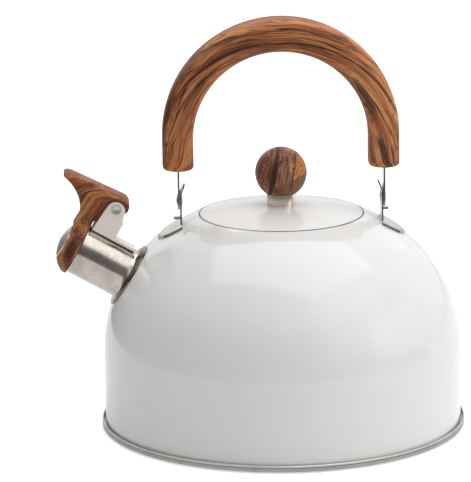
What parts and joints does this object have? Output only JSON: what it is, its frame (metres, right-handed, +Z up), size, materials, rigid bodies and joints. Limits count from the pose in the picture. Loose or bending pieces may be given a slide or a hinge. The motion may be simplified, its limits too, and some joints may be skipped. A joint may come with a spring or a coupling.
{
  "type": "stovetop whistling kettle",
  "caption": "Domed stovetop kettle with a lift-off lid, a folding arched handle and a short spout closed by a sprung flip-up whistle.",
  "frame": {"origin": "centre of the flat underside of the base, which rests on the hob", "axes": "+Z up through the lid knob, the spout points along -X and the handle arches over the lid in the XZ plane"},
  "size_m": [0.2414, 0.216, 0.2445],
  "materials": {
    "enamel": "gloss",
    "steel": "satin",
    "bright_steel": "gloss",
    "core_aluminium": "satin",
    "woodgrain": "satin",
    "insert_brass": "satin"
  },
  "bodies": {
    "kettle": {"body_shell": "enamel", "base_pan": "steel", "capsule_core": "core_aluminium", "capsule_cover": "steel", "spout_tube": "steel", "spout_bracket": "steel", "hinge_pin": "bright_steel", "lever_spring": "bright_steel", "ear_left": "steel", "ear_right": "steel", "rivet_left": "bright_steel", "rivet_right": "bright_steel"},
    "lid": {"lid_shell": "enamel", "lid_skirt": "steel", "lid_knob": "woodgrain", "knob_insert": "insert_brass", "knob_collar": "bright_steel", "knob_screw": "bright_steel", "knob_washer": "steel"},
    "whistle": {"whistle_lever": "woodgrain", "whistle_cap": "bright_steel", "whistle_plate": "steel"},
    "handle": {"handle_grip": "woodgrain", "strap_left": "steel", "strap_right": "steel"}
  },
  "joints": [
    {"name": "handle_fold", "type": "hinge", "parent": "kettle", "child": "handle", "pos_m": [0, 0, 0.1362], "axis": [1, 0, 0], "range_deg": [-90, 90]},
    {"name": "whistle_pivot", "type": "hinge", "parent": "kettle", "child": "whistle", "pos_m": [-0.0971, 0, 0.1327], "axis": [0, 1, 0], "range_deg": [0, 65], "stiffness_Nm_per_rad": 0.06, "springref_deg": -28.65, "deforming": ["lever_spring"]},
    {"name": "lid_lift", "type": "slide", "parent": "kettle", "child": "lid", "axis": [0, 0, 1], "range_m": [0, 0.05]}
  ]
}
